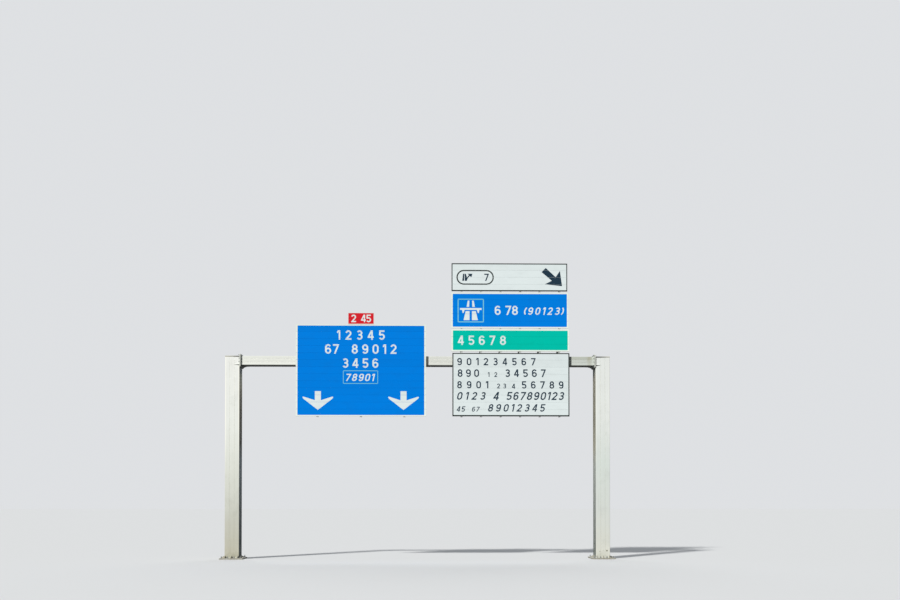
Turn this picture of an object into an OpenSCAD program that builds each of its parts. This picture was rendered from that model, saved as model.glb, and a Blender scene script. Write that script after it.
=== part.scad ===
// Overhead sign gantry: an aluminium portal over a carriageway.
// Two fluted box posts carry a fluted box beam on bolted corner flanges.
// A large direction sign with a route plate hangs left of the middle, and a
// stack of four panels hangs right of it, on upright I-section supports that
// are clamped round the beam.
// X runs along the beam, the sign faces look along -Y, Z is up.
// The origin is on the ground, midway between the two posts.

/* [Portal] */
// Distance between the centre lines of the posts
post_spacing = 15300; // [14500:50:20000]
// Height of the top of the beam and posts above the ground
portal_h = 8380; // [7600:10:9600]

/* [Posts] */
// Width of a post, along the beam
post_w = 590; // [450:10:700]
// Depth of a post, across the beam
post_d = 860; // [700:10:1000]
// Wall of the post extrusion
post_wall = 10; // [6:1:14]
// Thickness of the cap plate on a post
cap_t = 30; // [8:1:40]
// Reach of the cap plate past the post's outer faces
cap_reach = 6; // [2:1:15]

/* [Beam] */
// Height of the beam
beam_h = 370; // [300:10:480]
// Depth of the beam, across the span
beam_d = 780; // [600:10:900]
// Wall of the beam extrusion
beam_wall = 7; // [5:1:12]
// Radius of the half-round flutes along the thirds of each face
flute_r = 7; // [5:1:14]
// Outer corner radius of the posts and the beam
corner_r = 14; // [6:1:25]

/* [Corner flanges] */
// Thickness of each flange plate
flange_t = 25; // [15:1:40]
// Height of a flange above the beam
flange_above = 80; // [60:5:120]
// Reach of a flange past the front and back of the deeper member
flange_reach = 50; // [40:5:130]
// Corner radius of a flange plate
flange_r = 40; // [10:5:60]
// Radius of the bolt holes through both flange plates
bolt_r = 11; // [8:0.5:15]
// Distance from the edge of a flange to its bolts
bolt_edge = 27; // [24:1:34]
// Distance between the bolts of an upright row
bolt_pitch = 140; // [110:1:150]
// Number of bolts in an upright row
bolt_rows = 4; // [3:1:4]
// Number of bolts above the beam, between the upright rows
bolt_columns = 5; // [3:2:7]
// Length of the gussets that brace a flange on its post
gusset_l = 230; // [80:10:260]
// Thickness of the gussets
gusset_t = 12; // [8:1:20]
// Height of the gussets above the beam's underside
gusset_up = 15; // [10:5:80]

/* [Haunches] */
// Length of a haunch along the beam
haunch_l = 270; // [200:10:400]
// Depth of a haunch below the beam
haunch_h = 75; // [60:5:140]
// Distance from the toe of a haunch down to the lower edge of its flange
haunch_toe = 15; // [10:5:60]
// Thickness of the haunch plates
haunch_t = 12; // [8:1:16]
// Set-back of a haunch from the beam's front and back
haunch_inset = 50; // [20:5:120]

/* [Bases] */
// Width of a base plate, along the beam
base_w = 950; // [880:10:1100]
// Depth of a base plate, across the beam
base_d = 1600; // [1500:10:1800]
// Thickness of a base plate
base_t = 50; // [25:1:60]
// Radius of the anchor holes
anchor_r = 18; // [12:0.5:22]
// Distance across the outer pair of anchors in a row
anchor_outer = 780; // [740:10:800]
// Distance across the inner pair of anchors in a row
anchor_inner = 260; // [200:10:300]
// Distance between the front and back rows of anchors
anchor_rows = 1400; // [1320:10:1430]
// Height of the low stiffeners round the foot of a post
foot_rib_h = 95; // [50:5:110]
// Thickness of the stiffeners
foot_rib_t = 15; // [10:1:25]
// Distance from the plate's edge to the toe of a stiffener
foot_rib_edge = 25; // [10:5:40]

/* [Sign panels] */
// Height of the lower edge of both signs above the ground
sign_bottom = 5885; // [5500:5:6100]
// Height of one plank of a panel, before it is evened out
plank_h = 290; // [200:10:330]
// Thickness of the plank's face
skin_t = 3; // [2:0.5:5]
// Depth of a panel, from its face to the back of its ribs
panel_depth = 50; // [36:1:70]
// Thickness of a rib at a plank joint
rib_t = 6; // [4:1:10]
// Width of the clamping lip on a rib
rib_lip = 40; // [24:2:60]
// Thickness of the edge frame and of the rib lips
edge_t = 4; // [3:0.5:6]
// Width of the edge frame's back lip
edge_lip = 22; // [12:1:30]

/* [Direction sign] */
// Middle of the blue sign, from the middle of the span
blue_x = -2350; // [-2400:10:-2200]
// Width of the blue sign
blue_w = 5365; // [5000:5:5700]
// Height of the blue sign
blue_h = 3785; // [3300:5:4200]
// Distance between its supports
blue_pitch = 1790; // [1500:10:2000]
// Width of the route plate above it
route_w = 1060; // [700:5:1400]
// Height of the route plate
route_h = 465; // [360:5:560]
// Gap between the blue sign and the route plate
route_gap = 10; // [4:1:40]

/* [Panel stack] */
// Middle of the six supports, from the middle of the span
stack_x = 3825; // [3750:5:3900]
// Distance between the supports of the stack
stack_pitch = 810; // [700:10:860]
// Width of the exit panel, the top and narrowest one
stack_w = 4790; // [4600:10:4900]
// Middle of the local panel, the lowest, to the right of the supports' middle
local_side = 15; // [-60:5:60]
// How much wider the local panel is than the exit panel
local_extra_w = 50; // [0:5:120]
// Height of the local panel
local_h = 2620; // [2200:10:2900]
// Gap between the local panel and the town panel
local_gap = 65; // [40:5:160]
// Middle of the green town panel, to the right of the supports' middle
town_side = -10; // [-60:5:60]
// How much wider the town panel is than the exit panel
town_extra_w = 90; // [0:5:120]
// Height of the town panel
town_h = 920; // [700:10:1100]
// Gap between the town panel and the motorway panel
town_gap = 45; // [40:5:160]
// Middle of the blue motorway panel, to the right of the supports' middle
motorway_side = -30; // [-60:5:60]
// How much wider the motorway panel is than the exit panel
motorway_extra_w = 60; // [0:5:120]
// Height of the motorway panel
motorway_h = 1470; // [1200:5:1700]
// Gap between the motorway panel and the exit panel
motorway_gap = 60; // [40:5:160]
// Middle of the exit panel, to the right of the supports' middle
exit_side = -45; // [-60:5:60]
// Height of the exit panel
exit_h = 1155; // [900:5:1400]

/* [Supports] */
// Flange width of the I-section supports
support_w = 80; // [70:1:100]
// Depth of the I-section, from the beam to the panel ribs
support_d = 120; // [90:5:160]
// Thickness of its flanges
support_flange_t = 8; // [6:1:12]
// Thickness of its web
support_web_t = 6; // [4:1:10]
// Length of support that shows below a sign
support_drop = 30; // [10:5:80]
// Distance from the top of a panel down to the top of its supports
support_short = 40; // [20:5:100]

/* [Clamps] */
// Radius of the clamp rods
rod_r = 8; // [6:0.5:9]
// Distance from the middle of a rod to the middle of its support
rod_side = 24; // [22:0.5:26]
// Distance from the beam's face to the middle of a rod
rod_clear = 270; // [240:5:300]
// Distance across the flats of a rod's nut
nut_af = 24; // [20:1:26]
// Thickness of a rod's nut
nut_t = 13; // [8:1:16]
// Length of rod that stands out of its nut
rod_tail = 12; // [4:1:30]
// Wall of the channel behind the beam
strap_t = 8; // [6:1:12]
// Depth of the channel behind the beam
strap_d = 45; // [30:1:60]
// Distance from a rod to the end of the channel
strap_end = 60; // [40:5:90]
// Clearance round a rod in its holes
rod_gap = 0.3; // [0.2:0.05:0.6]

/* [Hidden] */
$fn = 48;
post_x = post_spacing / 2;
post_in = post_x - post_w / 2;
beam_end = post_in - 2 * flange_t;
beam_bottom = portal_h - beam_h;
post_top = portal_h - cap_t;
flange_d = max(post_d, beam_d) + 2 * flange_reach;
flange_below = haunch_h + haunch_toe;
flange_h = flange_above + beam_h + flange_below;
flange_bottom = beam_bottom - flange_below;
haunch_r = (haunch_l * haunch_l + haunch_h * haunch_h) / (2 * haunch_h);
support_back = -beam_d / 2;
support_front = support_back - support_d;
panel_face = support_front - panel_depth;
town_z = sign_bottom + local_h + local_gap;
motorway_z = town_z + town_h + town_gap;
exit_z = motorway_z + motorway_h + motorway_gap;
route_z = sign_bottom + blue_h + route_gap;
local_x = stack_x + local_side;
town_x = stack_x + town_side;
motorway_x = stack_x + motorway_side;
exit_x = stack_x + exit_side;
local_w = stack_w + local_extra_w;
town_w = stack_w + town_extra_w;
motorway_w = stack_w + motorway_extra_w;
anchor_hole_h = base_t * 3;
nut_r = nut_af / sqrt(3);

// Draws a right-hand piece on the chosen side of the portal
module on_side(side) {
    mirror([side < 0 ? 1 : 0, 0, 0]) children();
}

// Turns a flat outline in Y and Z into a bar along X
module bar_along_x(length) {
    rotate([90, 0, 90]) linear_extrude(height = length) children();
}

module rounded_outline(a, b, r) {
    square([a - 2 * r, b], center = true);
    square([a, b - 2 * r], center = true);
    for (i = [-1, 1], j = [-1, 1])
        translate([i * (a / 2 - r), j * (b / 2 - r)]) circle(r = r);
}

// Places its children on the thirds of each face of a box section
module at_flutes(a, b) {
    for (side = [-1, 1], third = [-1, 1]) {
        translate([third * a / 6, side * b / 2]) children();
        translate([side * a / 2, third * b / 6]) children();
    }
}

// Closed box extrusion, with a half-round flute on the thirds of each face
// and the wall carried round behind each flute
module fluted_section(a, b, wall) {
    difference() {
        intersection() {
            rounded_outline(a, b, corner_r);
            union() {
                difference() {
                    square([a, b], center = true);
                    rounded_outline(a - 2 * wall, b - 2 * wall, corner_r);
                }
                at_flutes(a, b) circle(r = flute_r + wall);
            }
        }
        at_flutes(a, b) circle(r = flute_r);
    }
}

// Triangular stiffener standing on the base plate, its heel at the origin and
// its toe along +X
module foot_rib(length) {
    translate([0, foot_rib_t / 2, 0]) rotate([90, 0, 0])
        linear_extrude(height = foot_rib_t)
            polygon([[0, 0], [length, 0], [length, foot_rib_h / 4], [0, foot_rib_h]]);
}

module anchor_holes() {
    for (pair = [anchor_outer, anchor_inner], i = [-1, 1], j = [-1, 1])
        translate([i * pair / 2, j * anchor_rows / 2, -base_t])
            cylinder(r = anchor_r, h = anchor_hole_h);
}

module base(side) {
    color([0.62, 0.63, 0.60]) translate([side * post_x, 0, 0]) difference() {
        translate([-base_w / 2, -base_d / 2, 0]) cube([base_w, base_d, base_t]);
        anchor_holes();
    }
}

// Low stiffeners between the base plate and the four faces of a post
module foot_ribs(side) {
    end_rib = (base_d - post_d) / 2 - foot_rib_edge;
    side_rib = (base_w - post_w) / 2 - foot_rib_edge;
    rib_x = (anchor_outer + anchor_inner) / 4;
    color([0.66, 0.67, 0.64]) translate([side * post_x, 0, 0]) {
        for (x = [-rib_x, 0, rib_x], j = [-1, 1])
            translate([x, j * post_d / 2, base_t]) rotate([0, 0, j * 90]) foot_rib(end_rib);
        for (y = [-post_d / 4, post_d / 4], i = [-1, 1])
            translate([i * post_w / 2, y, base_t]) rotate([0, 0, i < 0 ? 180 : 0]) foot_rib(side_rib);
    }
}

module post(side) {
    color([0.86, 0.87, 0.83]) translate([side * post_x, 0, base_t])
        linear_extrude(height = post_top - base_t) fluted_section(post_w, post_d, post_wall);
}

// Cap plate, flush with the flange on the inner side and proud on the others
module post_cap(side) {
    color([0.35, 0.36, 0.34]) on_side(side)
        translate([post_in, -post_d / 2 - cap_reach, post_top])
            cube([post_w + cap_reach, post_d + 2 * cap_reach, cap_t]);
}

// Places its children at the bolts of a flange: an upright row down its front
// and back edges, and a row between them above the beam
module at_bolts() {
    row_y = flange_d / 2 - bolt_edge;
    top_z = flange_h - bolt_edge;
    for (j = [-1, 1], i = [0:bolt_rows - 1])
        translate([j * row_y, top_z - i * bolt_pitch]) children();
    for (i = [1:bolt_columns])
        translate([(2 * i / (bolt_columns + 1) - 1) * row_y, top_z]) children();
}

module flange_plate() {
    bar_along_x(flange_t) difference() {
        translate([0, flange_h / 2]) rounded_outline(flange_d, flange_h, flange_r);
        at_bolts() circle(r = bolt_r);
    }
}

// Flat gussets just above the beam's underside, on the post's front and back
module flange_gussets() {
    for (j = [-1, 1])
        translate([0, j * post_d / 2, -gusset_t / 2]) linear_extrude(height = gusset_t)
            polygon([[0, 0], [gusset_l, 0], [0, j * (flange_d - post_d) / 2]]);
}

module post_flange(side) {
    color([0.80, 0.81, 0.77]) on_side(side) {
        translate([post_in - flange_t, 0, flange_bottom]) flange_plate();
        translate([post_in, 0, beam_bottom + gusset_up]) flange_gussets();
    }
}

module beam_flange(side) {
    color([0.80, 0.81, 0.77]) on_side(side) translate([beam_end, 0, flange_bottom]) flange_plate();
}

// Side view of a haunch against the right-hand flange: the corner between the
// beam's underside and the flange, hollowed by an arc that leaves the beam
// tangentially
module haunch_outline(arc_r) {
    difference() {
        translate([-haunch_l, -haunch_h]) square([haunch_l, haunch_h]);
        translate([-haunch_l, -haunch_r]) circle(r = arc_r, $fn = 96);
    }
}

// Curved soffit plate between two side plates, set back under the beam
module haunch(side) {
    depth = beam_d - 2 * haunch_inset;
    color([0.50, 0.52, 0.50]) on_side(side) translate([beam_end, depth / 2, beam_bottom])
        rotate([90, 0, 0]) {
            linear_extrude(height = depth) difference() {
                haunch_outline(haunch_r);
                haunch_outline(haunch_r + haunch_t);
            }
            for (z = [0, depth - haunch_t])
                translate([0, 0, z]) linear_extrude(height = haunch_t) haunch_outline(haunch_r);
        }
}

module beam() {
    color([0.84, 0.85, 0.82]) translate([-beam_end, 0, (portal_h + beam_bottom) / 2])
        bar_along_x(2 * beam_end) fluted_section(beam_d, beam_h, beam_wall);
}

// Draws its children once for each of four rods round the beam
module at_rods() {
    for (i = [-1, 1], z = [beam_bottom - rod_clear, portal_h + rod_clear])
        translate([i * rod_side, 0, z]) rotate([90, 0, 0]) children();
}

// Upright I-section from below the sign to behind its top panel, drilled in
// its back flange for the clamp rods
module support(x, top) {
    low = sign_bottom - support_drop;
    length = top - low;
    color([0.75, 0.76, 0.74]) translate([x, 0, 0]) difference() {
        translate([0, support_back, low]) linear_extrude(height = length) {
            translate([-support_w / 2, -support_flange_t]) square([support_w, support_flange_t]);
            translate([-support_w / 2, -support_d]) square([support_w, support_flange_t]);
            translate([-support_web_t / 2, -support_d]) square([support_web_t, support_d]);
        }
        at_rods() translate([0, 0, -support_back - support_flange_t])
            cylinder(r = rod_r + rod_gap, h = 3 * support_flange_t, center = true);
    }
}

function blue_support_x(i) = blue_x + (i - 2) * blue_pitch;
function stack_support_x(i) = stack_x + (i - 3.5) * stack_pitch;
// The middle one reaches on up to carry the route plate
function blue_support_top(i) = (i == 2 ? route_z + route_h : sign_bottom + blue_h) - support_short;

module blue_support(i) {
    support(blue_support_x(i), blue_support_top(i));
}

module stack_support(i) {
    support(stack_support_x(i), exit_z + exit_h - support_short);
}

// Upright channel with its web against the back of the beam, one for each
// support
module clamp_strap(x) {
    low = beam_bottom - rod_clear - strap_end;
    high = portal_h + rod_clear + strap_end;
    translate([x, 0, 0]) difference() {
        translate([0, beam_d / 2, low]) linear_extrude(height = high - low) difference() {
            translate([-support_w / 2, 0]) square([support_w, strap_d]);
            translate([-support_w / 2 + strap_t, strap_t]) square([support_w - 2 * strap_t, strap_d]);
        }
        at_rods() cylinder(r = rod_r + rod_gap, h = 4 * beam_d, center = true);
    }
}

// Threaded rod with a nut in the channel and one inside the support's back flange
module clamp_rod() {
    back = beam_d / 2 + strap_t;
    front = support_back - support_flange_t;
    translate([0, 0, -back - nut_t - rod_tail])
        cylinder(r = rod_r, h = back - front + 2 * (nut_t + rod_tail));
    translate([0, 0, -back - nut_t]) cylinder(r = nut_r, h = nut_t, $fn = 6);
    translate([0, 0, -front]) cylinder(r = nut_r, h = nut_t, $fn = 6);
}

module blue_clamp_straps() {
    color([0.66, 0.67, 0.66]) for (i = [1:3]) clamp_strap(blue_support_x(i));
}

module blue_clamp_rods() {
    color([0.55, 0.56, 0.56]) for (i = [1:3]) translate([blue_support_x(i), 0, 0]) at_rods() clamp_rod();
}

module stack_clamp_straps() {
    color([0.66, 0.67, 0.66]) for (i = [1:6]) clamp_strap(stack_support_x(i));
}

module stack_clamp_rods() {
    color([0.55, 0.56, 0.56]) for (i = [1:6]) translate([stack_support_x(i), 0, 0]) at_rods() clamp_rod();
}

// Aluminium planks hooked into one panel: a thin face, and a rib with a
// clamping lip behind each plank joint, clear of the edge frame's lip
module plank_panel(x, z, w, h) {
    count = max(2, round(h / plank_h));
    face_w = w - 2 * edge_t;
    rib_w = face_w - 2 * edge_lip - 2 * edge_t;
    translate([x - face_w / 2, panel_face, z + edge_t])
        cube([face_w, skin_t, h - 2 * edge_t]);
    for (i = [1:count - 1])
        translate([x - rib_w / 2, panel_face, z + i * h / count]) {
            translate([0, 0, -rib_t / 2]) cube([rib_w, panel_depth, rib_t]);
            translate([0, panel_depth - edge_t, -rib_lip / 2]) cube([rib_w, edge_t, rib_lip]);
        }
}

// Channel that closes the four edges of a panel, with a lip at the back
module edge_frame(x, z, w, h) {
    translate([x - w / 2, panel_face, z]) difference() {
        cube([w, panel_depth, h]);
        translate([edge_t, -edge_t, edge_t])
            cube([w - 2 * edge_t, panel_depth, h - 2 * edge_t]);
        translate([edge_t + edge_lip, 0, edge_t + edge_lip])
            cube([w - 2 * (edge_t + edge_lip), 2 * panel_depth, h - 2 * (edge_t + edge_lip)]);
    }
}

module blue_panel() {
    color([0.0, 0.36, 0.72]) plank_panel(blue_x, sign_bottom, blue_w, blue_h);
}

module blue_panel_frame() {
    color([0.82, 0.82, 0.79]) edge_frame(blue_x, sign_bottom, blue_w, blue_h);
}

module route_plate() {
    color([0.78, 0.10, 0.12]) plank_panel(blue_x, route_z, route_w, route_h);
}

module route_plate_frame() {
    color([0.82, 0.82, 0.79]) edge_frame(blue_x, route_z, route_w, route_h);
}

module exit_panel() {
    color([0.86, 0.88, 0.88]) plank_panel(exit_x, exit_z, stack_w, exit_h);
}

module exit_panel_frame() {
    color([0.82, 0.82, 0.79]) edge_frame(exit_x, exit_z, stack_w, exit_h);
}

module motorway_panel() {
    color([0.0, 0.36, 0.72]) plank_panel(motorway_x, motorway_z, motorway_w, motorway_h);
}

module motorway_panel_frame() {
    color([0.82, 0.82, 0.79]) edge_frame(motorway_x, motorway_z, motorway_w, motorway_h);
}

module town_panel() {
    color([0.0, 0.62, 0.50]) plank_panel(town_x, town_z, town_w, town_h);
}

module town_panel_frame() {
    color([0.82, 0.82, 0.79]) edge_frame(town_x, town_z, town_w, town_h);
}

module local_panel() {
    color([0.86, 0.88, 0.88]) plank_panel(local_x, sign_bottom, local_w, local_h);
}

module local_panel_frame() {
    color([0.82, 0.82, 0.79]) edge_frame(local_x, sign_bottom, local_w, local_h);
}

base(-1);  // left_base
base(1);  // right_base
foot_ribs(-1);  // left_foot_ribs
foot_ribs(1);  // right_foot_ribs
post(-1);  // left_post
post(1);  // right_post
post_cap(-1);  // left_post_cap
post_cap(1);  // right_post_cap
post_flange(-1);  // left_post_flange
post_flange(1);  // right_post_flange
beam_flange(-1);  // left_beam_flange
beam_flange(1);  // right_beam_flange
haunch(-1);  // left_haunch
haunch(1);  // right_haunch
beam();
blue_support(1);  // blue_support_1
blue_support(2);  // blue_support_2
blue_support(3);  // blue_support_3
stack_support(1);  // stack_support_1
stack_support(2);  // stack_support_2
stack_support(3);  // stack_support_3
stack_support(4);  // stack_support_4
stack_support(5);  // stack_support_5
stack_support(6);  // stack_support_6
blue_clamp_straps();
blue_clamp_rods();
stack_clamp_straps();
stack_clamp_rods();
blue_panel();
blue_panel_frame();
route_plate();
route_plate_frame();
exit_panel();
exit_panel_frame();
motorway_panel();
motorway_panel_frame();
town_panel();
town_panel_frame();
local_panel();
local_panel_frame();
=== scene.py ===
"""Looks of the overhead sign gantry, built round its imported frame. All sizes are in metres."""

from functools import partialmethod
from itertools import product
from math import cos, pi, radians, sin

import bmesh
import bpy
from mathutils import Matrix, Vector
from mathutils.geometry import delaunay_2d_cdt


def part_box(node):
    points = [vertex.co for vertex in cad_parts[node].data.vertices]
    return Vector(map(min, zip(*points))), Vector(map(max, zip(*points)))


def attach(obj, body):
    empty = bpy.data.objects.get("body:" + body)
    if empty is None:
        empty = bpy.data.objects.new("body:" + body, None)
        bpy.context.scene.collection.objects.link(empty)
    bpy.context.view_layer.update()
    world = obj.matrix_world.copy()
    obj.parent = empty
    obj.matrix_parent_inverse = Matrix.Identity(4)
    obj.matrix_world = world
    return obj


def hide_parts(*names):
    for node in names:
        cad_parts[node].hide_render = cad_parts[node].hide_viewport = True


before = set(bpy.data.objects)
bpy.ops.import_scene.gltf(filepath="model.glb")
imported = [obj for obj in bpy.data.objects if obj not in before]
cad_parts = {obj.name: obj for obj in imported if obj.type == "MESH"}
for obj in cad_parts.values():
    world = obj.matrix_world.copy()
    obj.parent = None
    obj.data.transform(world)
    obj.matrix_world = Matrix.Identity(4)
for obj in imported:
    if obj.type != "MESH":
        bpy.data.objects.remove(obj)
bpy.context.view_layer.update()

# Camera, in the frame of the photograph
CAMERA_PLACE = (0.126, -56.151, 2.331)
CAMERA_YAW = 1.231
CAMERA_PITCH = 1.176
LENS_MM = 54
SENSOR_MM = 36
SHIFT_UP = 0.1942
VIEW_END = 1500

# Light: a soft sun from the left front, and a weak soft one from behind, each as its degrees to the left of
# the front, its height in degrees, its strength, its softness in degrees and its colour
KEY_SUN = (31.5, 35, 3.9, 5, (1, 0.985, 0.95))
BACK_SUN = (180, 40, 1.1, 40, (0.95, 0.97, 1))
SKY_COLOUR = (0.88, 0.94, 1, 1)
SKY_STRENGTH = 0.2
BACKDROP = (0.735, 0.75, 0.77, 1)
FLOOR_SEEN = (0.66, 0.67, 0.68, 1)
FLOOR_LIT = (0.08, 0.08, 0.078, 1)
FLOOR_SIZE = 900

# Planks of the sign panels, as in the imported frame
PLANK_H = 0.29
EDGE_T = 0.004
SKIN_T = 0.003
SHOULDER = 0.002
JOINT_GAP = 0.0006
RETURN_D = 0.012
RIB_LIP = 0.02
RIB_END = 0.031

# Film laid on the planks
FILM_T = 0.0006
FILM_SINK = 0.0002
FILM_CELL = 0.0045
SMALLEST_AREA = 1e-8

# Fasteners, gussets and corners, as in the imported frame
SIDES = (("left", -1), ("right", 1))
UP = (0, 0, 1)
BOLT_SIZE = 0.02
BOLT_END = 0.024
BOLT_EDGE = 0.027
BOLT_PITCH = 0.14
BOLT_ROWS = 4
BOLT_COLUMNS = 5
GUSSET_L = 0.23
GUSSET_UP = 0.021
CORNER_R = 0.014
ANCHOR_SIZE = 0.03
ANCHOR_END = 0.045
ANCHOR_PLATE = 0.04
ANCHOR_PLATE_T = 0.008
ANCHORS_X = (-0.39, -0.13, 0.13, 0.39)
ANCHORS_Y = (-0.7, 0.7)
FOOT_RIB_T = 0.015
FOOT_RIBS_X = (-0.26, 0, 0.26)
FOOT_RIBS_Y = (-0.215, 0.215)
SUPPORT_FLANGE_T = 0.008

# Radii of the weld beads
POST_BEAD = 0.01
BEAM_BEAD = 0.008
FLANGE_BEAD = 0.007
PLATE_BEAD = 0.006
GUSSET_BEAD = 0.005


def srgb(red, green, blue):
    """A colour as it looks on screen, 0 to 255, as the linear values that a shader takes"""
    def linear(value):
        share = value / 255
        return share / 12.92 if share <= 0.04045 else ((share + 0.055) / 1.055) ** 2.4
    return (linear(red), linear(green), linear(blue), 1)


def box(name):
    """Lowest and highest corner of a node's box, its middle and half its size"""
    low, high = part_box(name)
    return low, high, (low + high) / 2, (high - low) / 2


# Colours of the metals, the grime, moss and rust, the painted shade and the films
WHITE = (1, 1, 1, 1)
BARE = srgb(232, 235, 229)
GRIME = srgb(104, 104, 84)
# Painted shade for the faces that look down
UNDERSIDE_SHADE = srgb(176, 180, 180)
# Moss of the stains, and also the colour of the painted shadow next to the flanges
MOSS_AND_SHADE = srgb(96, 96, 70)
RUST = srgb(142, 106, 74)
FILM_BLUE = srgb(0, 126, 227)
FILM_GREEN = srgb(0, 191, 171)
FILM_RED = srgb(212, 36, 48)
FILM_WHITE = srgb(223, 233, 235)

# Film of the borders and figures: its colour, how much it has faded, and its material slot
FILMS = {
    "white": (FILM_WHITE, 0.05, "sign_white"),
    "edge": (srgb(234, 242, 234), 0.05, "sign_white"),
    "line": (srgb(124, 200, 218), 0.05, "sign_white"),
    "dark": (srgb(36, 56, 72), 0.1, None),
    "black": (srgb(44, 52, 50), 0.1, None),
}


class Tree:
    """The nodes of a material or world, added step by step. Values are sockets or plain numbers."""

    def __init__(self, owner):
        owner.use_nodes = True
        self.nodes = owner.node_tree.nodes
        self.links = owner.node_tree.links

    def add(self, kind, *values, **named):
        """A node with values in its first sockets, and named ones in its sockets or settings of that name"""
        node = self.nodes.new("ShaderNode" + kind)
        for name, value in named.items():
            if name in node.inputs:
                self.put(node.inputs[name], value)
            else:
                setattr(node, name, value)
        for socket, value in zip(node.inputs, values):
            self.put(socket, value)
        return node

    def put(self, socket, value):
        if isinstance(value, bpy.types.NodeSocket):
            self.links.new(value, socket)
        else:
            socket.default_value = value[:3] if socket.type == "VECTOR" else value


class Finish(Tree):
    """A material, made from the place and direction of the face that is shaded"""

    def __init__(self, name):
        self.material = bpy.data.materials.new(name)
        super().__init__(self.material)
        geometry = self.add("NewGeometry").outputs
        self.point = geometry["Position"]
        self.x, self.y, self.z = self.add("SeparateXYZ", self.point).outputs
        self.nx, self.ny, self.nz = self.add("SeparateXYZ", geometry["True Normal"]).outputs

    def math(self, operation, first, second=0):
        return self.add("Math", first, second, operation=operation).outputs[0]

    plus = partialmethod(math, "ADD")
    minus = partialmethod(math, "SUBTRACT")
    times = partialmethod(math, "MULTIPLY")
    size = partialmethod(math, "ABSOLUTE")

    def ramp(self, value, low, high, start=0, end=1):
        """start below low, end above high, and a smooth step between"""
        return self.add("MapRange", value, low, high, start, end,
                        interpolation_type="SMOOTHSTEP").outputs[0]

    def near(self, value, place, reach):
        """1 where value is at place, falling to 0 at reach from it"""
        return self.ramp(self.size(self.minus(value, place)), 0, reach, 1, 0)

    def noise(self, grain, seed, detail=4, rough=0.55):
        """Noise from 0 to 1 whose features are about as large as grain, a size in X, Y and Z"""
        place = self.add("VectorMath", self.point, [1 / side for side in grain],
                         (seed, seed * 0.7, -seed), operation="MULTIPLY_ADD").outputs[0]
        return self.add("TexNoise", Vector=place, Scale=1, Detail=detail, Roughness=rough).outputs[0]

    def cells(self, size, feature, output):
        """A pattern of small cells: how far their edges are, or a colour for each"""
        node = self.add("TexVoronoi", feature=feature, Vector=self.point, Scale=1 / size)
        return node.outputs[output]

    def spangle(self, size):
        """Crystals of zinc, each with its own value from 0 to 1"""
        return self.add("SeparateColor", self.cells(size, "F1", "Color")).outputs[0]

    def mix(self, amount, first, second):
        node = self.add("Mix", amount, data_type="RGBA")
        self.put(node.inputs[6], first)
        self.put(node.inputs[7], second)
        return node.outputs[2]

    def bands(self, value, stops):
        """Colour that follows value through stops of (place, red, green, blue), lowest first"""
        start, span = stops[0][0], stops[-1][0] - stops[0][0]
        node = self.add("ValToRGB", self.times(self.minus(value, start), 1 / span))
        elements = node.color_ramp.elements
        while len(elements) < len(stops):
            elements.new(0.5)
        for element, (place, *colour) in zip(elements, stops):
            element.position = (place - start) / span
            element.color = srgb(*colour)
        return node.outputs[0]

    def shade(self, colour, amount):
        """colour, made darker or lighter by a factor"""
        return self.add("VectorMath", colour, operation="SCALE", Scale=amount).outputs[0]

    def soiled(self, colour, noise, low, high, amount, tone=GRIME):
        """colour with grime where noise is above low, up to amount at high"""
        return self.mix(self.ramp(noise, low, high, 0, amount), colour, tone)

    def shade_below(self, colour, amount):
        """colour with painted shade on faces that look down"""
        return self.mix(self.ramp(self.nz, -0.8, -0.4, amount, 0), colour, UNDERSIDE_SHADE)

    def front(self):
        """1 on faces that look to the front, and 0 on others"""
        return self.ramp(self.ny, -0.9, -0.6, 1, 0)

    def bump(self, height, depth, **under):
        return self.add("Bump", Height=height, Distance=depth, **under).outputs[0]

    def done(self, colour, roughness, normal, metallic=0, specular=0.5):
        sockets = self.nodes["Principled BSDF"].inputs
        for name, value in (("Base Color", colour), ("Roughness", roughness), ("Normal", normal),
                            ("Metallic", metallic), ("Specular IOR Level", specular)):
            self.put(sockets[name], value)
        return self.material


def extruded(f, tone, grain, *thirds):
    """Colour, roughness and bumps of a weathered aluminium extrusion. grain is the size of its die lines, and
    thirds gives a coordinate with the middle and half size of the faces that have flutes at their thirds."""
    blotch = f.noise((1.6, 1.6, 2.4), 3)
    patch = f.noise((0.35, 0.35, 0.5), 11, 5, 0.6)
    streak = f.noise((0.035, 0.035, 1.3), 7, 4, 0.6)
    lines = f.noise(grain, 5, 3, 0.6)
    colour = f.shade(tone, f.ramp(blotch, 0.35, 0.7, 1, 0.95))
    colour = f.soiled(colour, patch, 0.5, 0.75, 0.1)
    upright = f.ramp(f.size(f.nz), 0.3, 0.7, 1, 0)
    runs = f.times(f.ramp(streak, 0.56, 0.8), upright)
    colour = f.mix(f.times(runs, 0.12), colour, GRIME)
    colour = f.shade(colour, f.ramp(lines, 0.2, 0.8, 0.965, 1.02))
    # Painted shade on the faces that look down
    colour = f.shade_below(colour, 0.97)
    above = f.ramp(f.nz, 0.6, 0.9)
    colour = f.mix(f.times(above, f.ramp(patch, 0.35, 0.7, 0.15, 0.6)), colour, GRIME)
    off = [f.size(f.minus(f.size(f.minus(place, middle)), half / 3)) for place, middle, half in thirds]
    # The flutes are painted paler: a painted highlight against the shade in their grooves
    flutes = f.ramp(f.math("MINIMUM", *off), 0.004, 0.009, 0.9, 0)
    roughness = f.plus(f.ramp(patch, 0.3, 0.7, 0.42, 0.62), f.times(runs, 0.15))
    normal = f.bump(f.noise((0.5, 0.5, 0.9), 19, 2), 0.004, Normal=f.bump(lines, 0.0006))
    return f.mix(flutes, colour, srgb(255, 255, 250)), roughness, normal


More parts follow.
